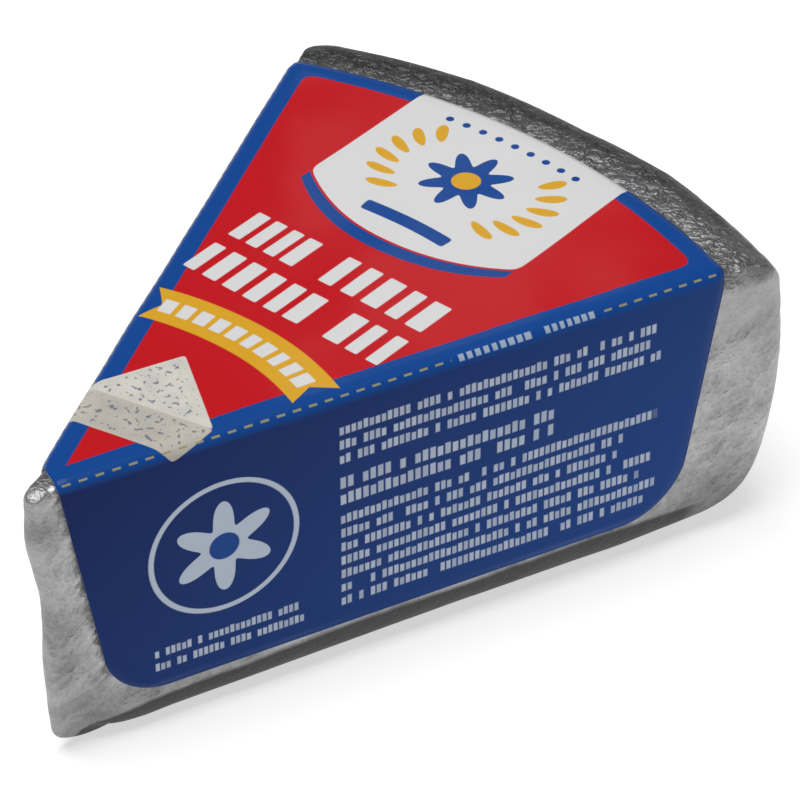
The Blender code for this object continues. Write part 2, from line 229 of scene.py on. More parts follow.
CREST_BAR = (-7.5, 6.1, CREST_BAR_RADIUS, 2.1, 0.8)
DOTS_RADIUS, DOTS_MIDDLE, DOTS_HALF = 91.9, -0.6, 11.5
DOT_PITCH, DOT_RADIUS = 2.6, 0.55
TITLE_LINES = ((57.2, ((-16.6, -5.2), (-2.0, 15.6))), (48.9, ((-16.8, 3.0), (6.2, 16.0))))
TITLE_HEIGHT, TITLE_PITCH = 6.0, 3.25
RIBBON_CENTRE, RIBBON_RADIUS, RIBBON_HALF = (-1.3, -0.4), 40.15, 3.15
RIBBON_ENDS, RIBBON_NOTCH = (-13.0, 15.3), 1.8
RIBBON_WORD, RIBBON_LETTER, RIBBON_PITCH = (-11.6, 13.2), 2.6, 2.45
PICTURE_TIP, PICTURE_HEEL, PICTURE_BACK = (-8.8, 20.6), (8.6, 24.4), (-3.4, 32.6)
PICTURE_DROP, PICTURE_CORNER, VEIN_MARGIN = 6.4, 0.8, 0.5
VEINS = (  # the size of the specks, how steep and how rare they are, their strength and blur
    (4.0, 4, 0.55, 0.2, 1.2),
    (0.75, 5, 0.60, 0.75, PRINT_BLUR),
)
DASH_MIDDLE, DASH_PITCH, DASH_LENGTH, DASH_WIDTH = 5.91, 2.107, 1.05, 0.26  # the first one's
DASH_ENDS = (4.9, 93.3)
FOLD_WORDS, FOLD_WORDS_GAP = ((56.8, 67.0), (68.6, 75.8)), (56.0, 76.5, 0, 3)
FOLD_LETTER, FOLD_LETTER_PITCH = 0.9, 1.1
OUT_OF_SIGHT = 1000  # how far a value is pushed off, for each unit, where it isn't to be printed
RING_PLACE, RING_RADIUS, RING_HALF, RING_STRENGTH = (25.2, 16.6), 9.6, 0.35, 0.85
STAR_PETALS, STAR_RADIUS, STAR_SWING, STAR_HEART = 6, 5.0, 1.9, 2.0
RULED_PANEL = (16.0, 50.0, 17.5, 23.0, 2.0)
RULE_START, RULE_PITCH, RULE_WIDTH, RULE_MARGIN = 6.0, 3.4, 0.24, 1.2
LEFT_FLAP_START = 92.0  # along the fold: the left flap is read from its rim end to its nose end

# Blocks in place of letters: of words, for each unit of their pitch and then of their height
BLOCK_LEAST, BLOCK_SPREAD, BLOCK_CORNER = 0.56, 0.22, 0.07
# and of small print, for each unit of its height, of a letter's pitch, and as shares of them all
LETTER_PITCH, LOW_LETTER = 0.60, 0.14
LETTER_WIDTH = 0.72
LOW_LETTERS, WORD_GAPS = 0.45, 0.15
GAP_STEEPNESS = 50  # turns that share into millimetres
ROW_SEEDS, STRENGTH_SEEDS = 131, 9  # steps that give each row, and each strength, its own chances
INK_MIDDLE, INK_SPREAD = 0.74, 0.20

# Paragraphs of small print: the first row's depth, the rows' pitch, number and height, where
# they start and end along the fold, how ragged their end is, and the seed of their chances
Paragraph = namedtuple("Paragraph", "first pitch rows height start end ragged seed")
RIGHT_PARAGRAPHS = (
    Paragraph(30.0, 2.1, 2, 1.2, 15.4, 36.5, 3, 11),
    Paragraph(4.9, 2.2, 3, 1.35, 40.6, 87.5, 9, 21),
    Paragraph(13.0, 2.5, 2, 1.7, 40.6, 78.0, 12, 31),
    Paragraph(18.6, 2.2, 7, 1.35, 40.6, 86.5, 7, 41),
)
PANEL_PARAGRAPH = Paragraph(7.7, 3.4, 6, 1.3, 44.0, 74.0, 14, 51)
LEFT_PARAGRAPH = Paragraph(7.0, 2.3, 9, 1.35, 7.0, 38.0, 8, 61)

# The Mix node's own numbers for its colour sockets
MIX_FACTOR, MIX_BELOW, MIX_ABOVE, MIX_RESULT = 0, 6, 7, 2

# The studio
FLOOR_SIDE, FLOOR_GREY, FLOOR_GLOW = 6.0, (0.50, 0.50, 0.50, 1), (1, 1, 1, 1)
SKY_LEVELS = ((0.0, 0.70), (0.06, 0.60), (0.18, 0.13), (0.75, 0.13), (1.0, 0.25))  # going up

# Camera, fitted to the photograph's view
CAMERA_AZIMUTH = math.radians(40.245)
CAMERA_ELEVATION = math.radians(38.507)
CAMERA_ROLL = math.radians(-0.139)
CAMERA_TARGET = Vector((21.7, -11.2, 42.8)) * MM
CAMERA_DISTANCE = 456.9 * MM
CAMERA_LENS, CAMERA_SENSOR = 174.783, 36  # mm


def smoothstep(value):
    value = np.clip(value, 0, 1)
    return value * value * (3 - 2 * value)


# ---------------------------------------------------------------- shape of the wedge


def arc(centre, radius, start, end, steps):
    angles = np.linspace(start, end, steps + 1)
    return centre + radius * np.stack([np.cos(angles), np.sin(angles)], -1)


def mirrored_round(half):
    """Carries values given for half of a ring, nose to rim, on round its other half."""
    return np.concatenate([half, half[-2:0:-1]])


def face_shares():
    """For each point of a ring, 0 at the nose, rising along the cut face to 1 at the corner."""
    return mirrored_round(np.concatenate([
        np.zeros(NOSE_STEPS), np.linspace(0, 1, FACE_STEPS + 1), np.ones(CORNER_STEPS + RIM_STEPS),
    ]))


def rim_shares():
    """For each point of a ring, 0 along the cut face and the nose, and 1 along the rim."""
    return mirrored_round(np.concatenate([
        np.zeros(NOSE_STEPS + FACE_STEPS),
        smoothstep(np.linspace(0, 1, CORNER_STEPS + 1)), np.ones(RIM_STEPS),
    ]))


def outline(face_inset, nose_radius, corner_radius):
    """The wedge seen from above, from the nose round by +X and back."""
    nose_radius = max(nose_radius - NOSE_SHRINK * face_inset, NOSE_LEAST)
    corner_radius = max(corner_radius - RIM_CORNER_SHRINK * face_inset, RIM_CORNER_LEAST)
    nose = FOIL_APEX + ((nose_radius + face_inset) / SIN) * np.array([0, 1])
    to_axis = (FOIL_APEX - AXIS)[1]
    depth = face_inset + corner_radius
    across = depth - to_axis * SIN
    reach = math.sqrt((WHEEL_RADIUS - corner_radius) ** 2 - across**2) - to_axis * COS
    corner = FOIL_APEX + reach * ALONG_FACE - depth * OUT_OF_FACE
    corner_angle = math.pi / 2 - math.atan2(corner[0], (corner - AXIS)[1])
    face_start = nose + nose_radius * OUT_OF_FACE
    face_end = corner + corner_radius * OUT_OF_FACE
    shares = np.linspace(0, 1, FACE_STEPS + 1)[:-1, None]
    half = np.concatenate([
        arc(nose, nose_radius, -math.pi / 2, -HALF_OPENING, NOSE_STEPS)[:-1],
        face_start + (face_end - face_start) * shares,
        arc(corner, corner_radius, -HALF_OPENING, corner_angle, CORNER_STEPS)[:-1],
        arc(AXIS, WHEEL_RADIUS, corner_angle, math.pi / 2, RIM_STEPS),
    ])
    return np.concatenate([half, half[-2:0:-1] * (-1, 1)])


def ring(face_insets, rim_insets, heights):
    """One closed ring of points, each with its own inset from the cut face and from the rim."""
    nose_heights = heights[0] / HEIGHT + NOSE_EASE
    radius, lean, reach, fade = [
        np.interp(nose_heights, NOSE_LEVELS, sizes).mean()
        for sizes in (NOSE_RADII, NOSE_LEANS, NOSE_REACHES, NOSE_FADES)
    ]
    deepest = max(face_insets.max(), 1e-9)
    rim_height = heights[len(heights) // 2] / HEIGHT
    corner = RIM_CORNER + RIM_CORNER_SPREAD * (1 - rim_height) ** 2
    outer = outline(0, radius, corner)
    inner = outline(deepest, radius, corner)
    points = outer + (inner - outer) * (face_insets / deepest)[:, None]
    from_front = points[:, 1] - outer[:, 1].min()
    points -= (1 - smoothstep(from_front / fade))[:, None] * (lean, reach)
    outward = (points - AXIS) / np.linalg.norm(points - AXIS, axis=1, keepdims=True)
    points -= outward * (rim_insets * face_shares())[:, None]
    return np.column_stack([points, heights])


def belly_insets(heights):
    return RIM_BELLY * (1 - np.sin(math.pi * (heights / HEIGHT) ** BELLY_RISE))


def rim_edges():
    """For each point of a ring, the radius that the rim's top edge is rounded to there."""
    places = outline(0, NOSE_LEAST, RIM_CORNER) - AXIS
    turns = np.degrees(np.arctan2(places[:, 0], places[:, 1]))
    return np.interp(turns, TOP_RIM_TURNS, TOP_RIM_EDGES)


def rings():
    """Every ring of the foil, from the edge of the flat base up to the flat top under the label."""
    found = []
    on_rim = rim_shares()
    base_edges = np.interp(face_shares(), BASE_EDGE_SHARES, BASE_EDGES)
    base_heights = base_edges + (BASE_RIM_HEIGHT - base_edges) * on_rim
    edges = rim_edges()
    top_heights = TOP_EDGE + (edges - TOP_EDGE) * on_rim
    for turn in np.linspace(0, math.pi / 2, BASE_EDGE_STEPS + 1)[:-1]:
        inward, heights = 1 - math.sin(turn), base_heights * (1 - math.cos(turn))
        rim_insets = BASE_RIM_DEPTH * inward + belly_insets(heights)
        found.append(ring(base_edges * inward, rim_insets, heights))
    for share in np.linspace(0, 1, WALL_STEPS + 1):
        heights = base_heights + (HEIGHT - top_heights - base_heights) * share
        found.append(ring(0 * heights, belly_insets(heights), heights))
    full_inset = np.full_like(on_rim, TOP_EDGE)
    for turn in np.linspace(0, math.pi / 2, TOP_EDGE_STEPS + 1)[1:]:
        inward, heights = 1 - math.cos(turn), HEIGHT - top_heights * (1 - math.sin(turn))
        rim_insets = edges * inward + belly_insets(heights)
        found.append(ring(full_inset * inward, rim_insets, heights))
    for inset in np.linspace(0, MARGIN_INSET, MARGIN_STEPS + 1)[1:]:
        rim_insets = edges + RIM_BELLY + inset
        found.append(ring(full_inset + inset * MARGIN_FACE_SHARE, rim_insets, 0 * on_rim + HEIGHT))
    return np.array(found)


# ---------------------------------------------------------------- shape of the label


def front_edge(foot, ray):
    """How far along a ray from this foot the label's straight front edge lies."""
    return (APEX_Y + LABEL_NOSE - foot[1] - LABEL_NOSE_SKEW * foot[0]) / (
        ray[1] + LABEL_NOSE_SKEW * ray[0]
    )


def curved_edge(foot, ray):
    """How far along a ray from this foot the label's curved edge lies."""
    from_axis = foot - AXIS - (LABEL_SHIFT, 0)
    along = from_axis @ ray
    return math.sqrt(LABEL_RADIUS**2 - from_axis @ from_axis + along**2) - along


def corner_cut(depth, radius):
    """What a round corner at the foot of the flap takes off its end, at this depth."""
    into = min(max(depth - (FLAP_DEPTH - radius), 0), radius)
    return radius - math.sqrt(radius**2 - into**2)


def flap_column(side, depth):
    """The ends of the line that runs along the unfolded label at this depth past its fold."""
    mirror = np.array([side, 1])
    apex = np.array([0, FLAT_APEX])
    ray = ALONG_FACE * mirror
    above = apex + min(depth, 0) * OUT_OF_FACE * mirror
    below = max(depth, 0)
    start = front_edge(above, ray) + FLAP_NOSE_TAPER * below + corner_cut(below, FLAP_NOSE_CORNER)
    end = curved_edge(above, ray) - FLAP_RIM_TAPER * below - corner_cut(below, FLAP_RIM_CORNER)
    end += FLAP_RIM_REACH * smoothstep(below / FLAP_RIM_EASE)
    foot = apex + depth * OUT_OF_FACE * mirror
    return foot + start * ray, foot + end * ray


def label_columns():
    """Lines of the unfolded label from its nose edge to its curved edge, left flap to right flap."""
    share = np.linspace(0, 1, FLAP_STEPS + 1)[1:]
    flap = HALF_FOLD + (FLAP_DEPTH - HALF_FOLD) * np.sin(share * math.pi / 2)
    depths = np.concatenate([np.linspace(-HALF_FOLD, HALF_FOLD, FOLD_STEPS + 1), flap])
    foot = np.array([0, FLAT_APEX + HALF_FOLD / SIN])
    top = []
    for angle in np.linspace(-HALF_OPENING, HALF_OPENING, TOP_STEPS + 1)[1:-1]:
        ray = np.array([math.sin(angle), math.cos(angle)])
        top.append((foot + front_edge(foot, ray) * ray, foot + curved_edge(foot, ray) * ray))
    left = [flap_column(-1, depth) for depth in reversed(depths)]
    right = [flap_column(1, depth) for depth in depths]
    return left + top + right


def wrapped(x, y):
    """Folds a point of the unfolded label round the wedge."""
    side = math.copysign(1, x)
    x = abs(x)
    from_apex = y - FLAT_APEX
    depth = x * COS - from_apex * SIN
    top = HEIGHT + LABEL_LIFT
    if depth < -HALF_FOLD:
        return (side * x, y, top)
    turn = min(depth / FOLD_RADIUS + math.pi / 4, math.pi / 2)
    below = max(depth - HALF_FOLD, 0)
    inward = FOLD_RADIUS * (1 - math.sin(turn))
    along = x * SIN + from_apex * COS + FOLD_SAVING * FOLD_RADIUS * COS / SIN
    place = along * ALONG_FACE - inward * OUT_OF_FACE
    return (side * place[0], APEX_Y + place[1], top - FOLD_RADIUS * (1 - math.cos(turn)) - below)


# ---------------------------------------------------------------- foil


def along_face(points):
    """How far each point lies from the wheel's axis, along the nearer cut face."""
    return np.abs(points[:, 0]) * SIN + (points[:, 1] - APEX_Y) * COS


def bare(points):
    """How far each point of the foil lies outside the label, negative under it."""
    x, y = points[:, 0], points[:, 1] - APEX_Y
    along = along_face(points)
    depth = HEIGHT - TOP_EDGE - points[:, 2]
    start = LABEL_NOSE / COS + FLAP_NOSE_TAPER * depth
    end = LABEL_RADIUS + LABEL_SHIFT * SIN * np.sign(x) - FLAP_RIM_TAPER * depth
    on_face = np.maximum.reduce([start - along, along - end, depth - FLAP_DEPTH + BARE_FOOT])
    on_top = np.maximum(np.hypot(x - LABEL_SHIFT, y) - LABEL_RADIUS, LABEL_NOSE - y)
    return np.where(depth > 0, on_face, on_top)


def relief(point):
    """Height of the foil's dents and creases at a point, in metres."""
    dents = noise.noise(point / DENT_SIZE)
    slanted = Matrix.Rotation(-CREASE_SLANT, 3, "X") @ point
    slanted.z *= CREASE_STRETCH
    bend = CREASE_BEND * Vector((dents, dents, dents))
    creases = noise.noise(slanted / (CREASE_SIZE * CREASE_STRETCH) + bend + CREASE_PLACE)
    return DENT_DEPTH * dents + CREASE_DEPTH * creases


def pebbling(point):
    """Height of the small round bumps at a point, in metres."""
    bend = noise.noise(point / DENT_SIZE)
    return PEBBLE_DEPTH * noise.noise(point / PEBBLE_SIZE + Vector((bend, -bend, bend)))


def crinkles(point):
    """Height of the sharp-ridged crinkles, of two sizes, at a point, in metres."""
    place = point / CRINKLE_SIZE
    place += CRINKLE_BEND * noise.noise_vector(point / (CRINKLE_BEND_SIZE * CRINKLE_SIZE))
    coarse = abs(noise.noise(place * COARSE_RATE))
    fine = abs(noise.noise(place * FINE_RATE + CREASE_PLACE))
    return CRINKLE_DEPTH * (CRINKLE_RIDGE - COARSE_SHARE * coarse - FINE_SHARE * fine)


def normals_of(grid, closed):
    """The surface's direction at each point of a grid; a closed one joins up across."""
    along = np.gradient(grid, axis=0)
    if closed:
        across = (np.roll(grid, -1, axis=1) - np.roll(grid, 1, axis=1)) / 2
    else:
        across = np.gradient(grid, axis=1)
    normal = np.cross(across, along)
    return normal / np.maximum(np.linalg.norm(normal, axis=-1, keepdims=True), 1e-12)


def calmness(points):
    """The share of the relief that is lost at each point, beside the label's curved edge."""
    rim = smoothstep((np.hypot(points[:, 0], points[:, 1] - APEX_Y) - LABEL_RADIUS) / CALM_BAND)
    return CALM_SHARE * rim * smoothstep(1 - (HEIGHT - points[:, 2]) / CALM_DROP)


def crinkled(points, outside, calm):
    """How strong the crinkles are at each point: round the top edge, most at the rim's +X end."""
    at_end = smoothstep((points[:, 0] - CRINKLED_END) / CRINKLED_FADE)
    drop = CRINKLE_DROP * (1 + CRINKLED_DROP * at_end)
    near_top = smoothstep(1 - (HEIGHT - points[:, 2]) / drop)
    end = CRINKLE_END * (1 + CRINKLED_REACH * at_end)
    near_top *= smoothstep((end - outside) / (CRINKLE_END - CRINKLE_REACH))
    return near_top * (1 - calm * (1 - at_end))


def crumpled(grid):
    """Moves each point of the rings along the surface's normal by the foil's relief."""
    points = grid.reshape(-1, 3)
    outside, along, calm = bare(points), along_face(points), calmness(points)
    front = CALM_NOSE + (1 - CALM_NOSE) * smoothstep((along - NOSE_FRONT) / NOSE_FRONT_FADE)
    broad = smoothstep(outside / RELIEF_FADE) * (1 - RELIEF_UNDER_LABEL) + RELIEF_UNDER_LABEL
    broad *= 1 - calm
    broad *= front * (1 + NOSE_CRUSH * (1 - smoothstep(along / NOSE_CRUSH_END)))
    fine = smoothstep(outside / FINE_FADE)
    vectors = [Vector(p) for p in points]
    heights = np.array([relief(v) for v in vectors]) * broad
    heights += np.array([pebbling(v) for v in vectors]) * fine * front * (1 - calm)
    heights += np.array([crinkles(v) for v in vectors]) * fine * crinkled(points, outside, calm)
    heights *= smoothstep(points[:, 2] / RELIEF_FLOOR_FADE)
    heights = heights.reshape(grid.shape[:2])
    heights[-1] = 0
    return grid + normals_of(grid, closed=True) * heights[..., None]


def made_piece(name, points, faces, finish):
    data = bpy.data.meshes.new(name)
    data.from_pydata([tuple(p) for p in points], [], faces)
    data.materials.append(finish)
    data.shade_smooth()
    made = bpy.data.objects.new(name, data)
    bpy.context.scene.collection.objects.link(made)
    return made


def wrapping_foil(finish):
    noise.seed_set(CRINKLE_SEED)
    grid = crumpled(rings())
    levels, around = grid.shape[:2]
    faces = []
    for level in range(levels - 1):
        low, high = level * around, (level + 1) * around
        for i in range(around):
            j = (i + 1) % around
            faces.append((low + i, low + j, high + j, high + i))
    faces.append(tuple(reversed(range(around))))
    faces.append(tuple(range((levels - 1) * around, levels * around)))
    return made_piece("wrapping_foil", grid.reshape(-1, 3), faces, finish)


# ---------------------------------------------------------------- label


def edge_distance(columns, rows):
    """For each point of the label's grid, how far it lies from the nearest edge, roughly."""
    spans = np.array([np.linalg.norm(end - start) for start, end in columns])[:, None]
    ends = np.minimum(rows, 1 - rows)[None] * spans
    middles = np.array([(start + end) / 2 for start, end in columns])
    steps = np.linalg.norm(np.diff(middles, axis=0), axis=1)
    run = np.concatenate([[0], np.cumsum(steps)])
    sides = np.minimum(run, run[-1] - run)[:, None]
    return np.minimum(ends, sides)


def folded_label(finish):
    columns = label_columns()
    rows = np.linspace(0, 1, LABEL_ROWS + 1)
    flat = np.array([[start + (end - start) * share for share in rows] for start, end in columns])
    count, length = flat.shape[:2]
    outer = np.array([wrapped(x, y) for x, y in flat.reshape(-1, 2)]).reshape(count, length, 3)
    normal = -normals_of(outer, closed=False)
    tuck = 1 - smoothstep(edge_distance(columns, rows) / LABEL_TUCK_WIDTH)
    waves = np.array([noise.noise(Vector(p) / WAVE_SIZE) for p in outer.reshape(-1, 3)])
    rise = WAVE_DEPTH * waves.reshape(count, length) * (1 - tuck) - LABEL_TUCK * tuck
    outer = outer + normal * rise[..., None]
    inner = outer - normal * LABEL_THICKNESS
    points = np.concatenate([outer.reshape(-1, 3), inner.reshape(-1, 3)])

    def outside(column, row):
        return column * length + row

    def inside(column, row):
        return count * length + column * length + row

    faces, backs = [], []
    for c in range(count - 1):
        for r in range(length - 1):
            corners = ((c, r), (c + 1, r), (c + 1, r + 1), (c, r + 1))
            faces.append([outside(*corner) for corner in corners])
            backs.append([inside(*corner) for corner in reversed(corners)])
    edge = [(c, 0) for c in range(count)] + [(count - 1, r) for r in range(1, length)]
    edge += [(c, length - 1) for c in reversed(range(count - 1))]
    edge += [(0, r) for r in reversed(range(1, length - 1))]
    for here, there in zip(edge, edge[1:] + edge[:1]):
        backs.append([outside(*there), outside(*here), inside(*here), inside(*there)])
    made = made_piece("folded_label", points, faces + backs, finish)
    lay_out_print(made.data, np.tile(flat.reshape(-1, 2), (2, 1)), len(faces))
    return made


def lay_out_print(mesh, flat, printed_faces):
    """Unfolds the label onto its map, with its back and its cut edges small in one corner."""
    sheet = (flat - AXIS) / MM
    places = (sheet - (SHEET_LEFT, SHEET_FOOT)) / SHEET_SIDE
    corners = np.zeros(len(mesh.loops), np.int32)
    mesh.loops.foreach_get("vertex_index", corners)
    unfolded = places[corners]
    unfolded[printed_faces * 4:] = unfolded[printed_faces * 4:] * BACK_SCALE + BACK_CORNER
    layer = mesh.uv_layers.new(name=PRINT_MAP)
    layer.data.foreach_set("uv", unfolded.astype(np.float32).ravel())


# ---------------------------------------------------------------- shader sums


class Field:
    """A value that varies over a surface. Sums on it add Math nodes to its finish."""

    def __init__(self, finish, socket):
        self.finish, self.socket = finish, socket

    def math(self, operation, *values, first=None, clamp=False):
        settings = {"operation": operation, "use_clamp": clamp}
        values = (self, *values) if first is None else (first, self)
        return self.finish.node("ShaderNodeMath", settings, dict(enumerate(values)))

    def __add__(self, other):
        return self.math("ADD", other)

    def __radd__(self, other):
        return self.math("ADD", other)

    def __sub__(self, other):
        return self.math("SUBTRACT", other)

    def __rsub__(self, other):
        return self.math("SUBTRACT", first=other)

    def __mul__(self, other):
        return self.math("MULTIPLY", other)

    def __rmul__(self, other):
        return self.math("MULTIPLY", other)

    def __truediv__(self, other):
        return self.math("DIVIDE", other)

    def __neg__(self):
        return self.math("MULTIPLY", -1)

    def __abs__(self):
        return self.math("ABSOLUTE")

    def least(self, other):
        return self.math("MINIMUM", other)

    def most(self, other):
        return self.math("MAXIMUM", other)

    def rounded_most(self, other, radius):
        return self.math("SMOOTH_MAX", other, radius)

    def floor(self):
        return self.math("FLOOR")

    def within(self, period):
        """The place inside its period, from minus to plus half of it."""
        return self.math("WRAP", period / 2, -period / 2)

    def away(self, other):
        """The distance from a point whose x and y differences are these."""
        return (self * self + other * other).math("SQRT")

    def angle(self, other):
        """In radians, nought along y and rising towards x, for these x and y."""
        return self.math("ARCTAN2", other)

    def cosine(self):
        return self.math("COSINE")

    def inside(self, blur):
        """1 where this signed distance is below nought, over a soft edge this wide."""
        return self.math("MULTIPLY_ADD", -1 / blur, 0.5, clamp=True)


class Finish:
    """The nodes that a material or a world is made of."""

    def __init__(self, made, shader="Principled BSDF"):
        made.use_nodes = True
        self.made, self.tree = made, made.node_tree
        self.shader = self.tree.nodes[shader]

    def node(self, kind, settings, values, output=0):
        made = self.tree.nodes.new(kind)
        for key, value in settings.items():
            if key == "stops":
                self.set_stops(made.color_ramp, value)
            else:
                setattr(made, key, value)
        for key, value in values.items():
            self.feed(made.inputs[key], value)
        return Field(self, made.outputs[output])

    def set_stops(self, ramp, stops):
        """Grey levels, each with its place from 0 to 1 before it."""
        while len(ramp.elements) < len(stops):
            ramp.elements.new(0.5)
        for element, (position, level) in zip(ramp.elements, stops):
            element.position = position
            element.color = (level, level, level, 1)

    def feed(self, socket, value):
        if isinstance(value, Field):
            self.tree.links.new(value.socket, socket)
        else:
            socket.default_value = value

    def surface(self, **values):
        for key, value in values.items():
            self.feed(self.shader.inputs[key.replace("_", " ")], value)

    def mixed(self, below, above, mask):
        """One colour over another, where the mask is 1."""
        values = {MIX_FACTOR: mask, MIX_BELOW: below, MIX_ABOVE: above}
        return self.node("ShaderNodeMix", {"data_type": "RGBA"}, values, MIX_RESULT)

    def noise(self, place, size, detail=2.0, roughness=0.5, distortion=0.0):
        values = {"Vector": place, "Scale": 1 / size, "Detail": detail, "Roughness": roughness,
                  "Distortion": distortion}
        return self.node("ShaderNodeTexNoise", {}, values)

    def chance(self, number):
        """A fixed random value from 0 to 1 for each whole number."""
        settings = {"noise_dimensions": "1D"}
        return self.node("ShaderNodeTexWhiteNoise", settings, {"W": number}, "Value")

    def bump(self, height, distance):
        return self.node("ShaderNodeBump", {}, {"Height": height, "Distance": distance})


def material(name):
    return Finish(bpy.data.materials.new(name))


def past(value, edge):
    """1 where the value is past an edge, which is a place and its blur."""
    place, blur = edge
    return (place - value).inside(blur)


def short_of(value, edge):
    """1 where the value doesn't reach an edge, which is a place and its blur."""
    place, blur = edge
    return (value - place).inside(blur)


# ---------------------------------------------------------------- finishes


class FoilSurface:
    """Places on the foil, in millimetres, and the noises that crumple it."""

    def __init__(self, finish):
        self.finish = finish
        place = finish.node("ShaderNodeTexCoord", {}, {}, output="Object")
        self.x, y, self.z = [
            finish.node("ShaderNodeSeparateXYZ", {}, {0: place}, output) * (1 / MM)
            for output in "XYZ"
        ]
        y = y - APEX_Y / MM
        self.radius = self.x.away(y)
        self.along = abs(self.x) * SIN + y * COS
        slanted = finish.node("ShaderNodeMapping", {"vector_type": "TEXTURE"}, {
            "Vector": place, "Rotation": (CREASE_SLANT, 0, 0), "Scale": (1, 1, FOLD_SQUEEZE),
        })
        self.cloudy = finish.noise(place, CLOUD_SIZE, detail=3) - 0.5
        self.folds = finish.noise(slanted, FOLD_SIZE, roughness=0.4, distortion=0.3) - 0.5
        self.pebbles = finish.noise(slanted, PEBBLE_SIZE, distortion=0.3) - 0.5
        self.grain = finish.noise(place, GRAIN_SIZE) - 0.5
        self.wrinkles = abs(finish.noise(place, WRINKLE_SIZE, detail=3, distortion=0.6) - 0.5)
        self.at_end = past(self.x, RIM_END)
        self.ragged = self.z + UNDERSIDE_RAGGED * self.cloudy


def gathered_part(foil):
    """The foil gathered over the rim's top edge."""
    edge = HEIGHT / MM - GATHERED_DROP - RIM_END_DROP * foil.at_end - foil.z
    above = (edge + GATHERED_RAGGED * foil.cloudy).inside(GATHERED_BLUR)
    return above * past(foil.radius, GATHERED_START)


def gathered_colour(foil):
    """Pale beside the label and, as painted shade, dark beyond, with lines and patches of painted
    shade.
    """
    outward = (DARK_START + DARK_SLANT * foil.x - foil.radius).inside(DARK_BLUR)
    outward = outward * (1 - RIM_END_PALER * foil.at_end)
    lines = WRINKLE_SHADE * short_of(foil.wrinkles, WRINKLE_LINES)
    patches = CLOUD_SHADE * short_of(foil.cloudy, CLOUD_PATCHES)
    dark = outward.most(lines.most(patches))
    return foil.finish.mixed(GATHERED_PALE, GATHERED_SHADE, dark)


def underside(foil):
    """Painted shade where the foil turns under along the foot of the cut faces, higher up from
    the nose on.
    """
    top = sum(rise * past(foil.along, edge) for rise, edge in UNDERSIDE_RISES)
    end = UNDERSIDE_END_SLOPE * (foil.radius - UNDERSIDE_END)
    return (foil.ragged - top).most(end).inside(UNDERSIDE_BLUR)


def label_edge_shade(foil):
    """Painted shade in a line beside the label's front edge, broken up by the pebbling."""
    depth = (HEIGHT - TOP_EDGE) / MM - foil.z
    from_edge = foil.along - LABEL_NOSE / COS / MM - FLAP_NOSE_TAPER * depth
    wander = EDGE_SHADE_RAGGED * (foil.pebbles - EDGE_SHADE_MIDDLE)
    line = abs(from_edge - EDGE_SHADE_PLACE) - EDGE_SHADE_HALF + wander
    return line.most(EDGE_SHADE_FOOT - foil.z).inside(EDGE_SHADE_BLUR)


def foil_finish():
    """Aluminium foil: satin on the sides, with a painted highlight and shade on its folds, and
    painted shade where it was gathered over the rim's edge, where it turns under the cut faces, at
    both feet, on the nose's front and beside the label's front edge, with crinkles that its relief
    is too coarse for."""
    finish = material("crinkled_foil")
    foil = FoilSurface(finish)
    gathered = gathered_part(foil)
    plain = 1 - gathered
    front = short_of(foil.along, NOSE_FACE) * plain
    calm = past(foil.z, CALM_FOOT) * past(foil.radius, CALM_START) * plain
    # painted shade along the foil's underside; the same mask also calms its bump
    under = underside(foil)

    crumple = foil.folds * FOLD_BUMP + foil.pebbles * PEBBLE_BUMP
    crumple = crumple * (1 - CALM_BUMP_LOSS * front.most(under).most(calm))
    height = crumple + foil.grain * GRAIN_BUMP - WRINKLE_BUMP * foil.wrinkles * gathered

    # painted shade at the rim's foot and at the nose's foot
    rim_foot = RIM_FOOT_SHADE * short_of(foil.ragged, RIM_FOOT) * past(foil.radius, RIM_FOOT_START)
    nose_foot = NOSE_FOOT_SHADE * short_of(foil.ragged, NOSE_FOOT)
    nose_foot = nose_foot * short_of(foil.along, NOSE_FOOT_END)
    # painted shade: the underside band, both feet, the line beside the label's edge, the nose's
    # front
    shade = under.most(rim_foot).most(nose_foot)
    shade = shade.most(EDGE_SHADE_STRENGTH * label_edge_shade(foil)).most(NOSE_FACE_SHADE * front)

    # painted highlight on the folds' crests and painted shade in their hollows, less where drawn
    # smooth
    fold_light_and_shade = FOLD_SHINE * foil.folds + PEBBLE_SHINE * foil.pebbles + GRAIN_SHINE * foil.grain
    fold_light_and_shade = fold_light_and_shade * (CALM_SHINE_LOSS * calm - 1)
    side = finish.mixed(FOIL_DULL, FOIL_PAINTED_LIGHT, fold_light_and_shade.inside(1))
    side = finish.mixed(side, FOIL_SHADE, shade)
    finish.surface(
        Base_Color=finish.mixed(side, gathered_colour(foil), gathered),
        Metallic=1.0,
        Roughness=FOIL_ROUGHNESS + CLOUD_ROUGHNESS * foil.cloudy + GATHERED_ROUGHNESS * gathered,
        Normal=finish.bump(height, MM),
    )
    return finish.made


def label_finish():
    """Printed film: the sheet's inks under a thin gloss."""
    finish = material("glossy_print")
    art = Print(finish)
    colour_fields(art)
    crest(art)
    title_blocks(art)
    ribbon(art)
    wedge_picture(art)
    fold_lines(art)
    right_flap(art)
    left_flap(art)
    art.lay(BACKING, (art.x - BACK_X).most(art.y - BACK_Y))
    place = finish.node("ShaderNodeTexCoord", {}, {}, output="Object")
    film = finish.noise(place, FILM_CLOUD_SIZE)
    finish.surface(
        Base_Color=art.colour,
        Roughness=FILM_ROUGHNESS + FILM_CLOUDS * film,
        Normal=finish.bump(film, FILM_BUMP),
        Specular_IOR_Level=0.04,
        Coat_Weight=0.12,
        Coat_Roughness=0.12,
    )
    return finish.made


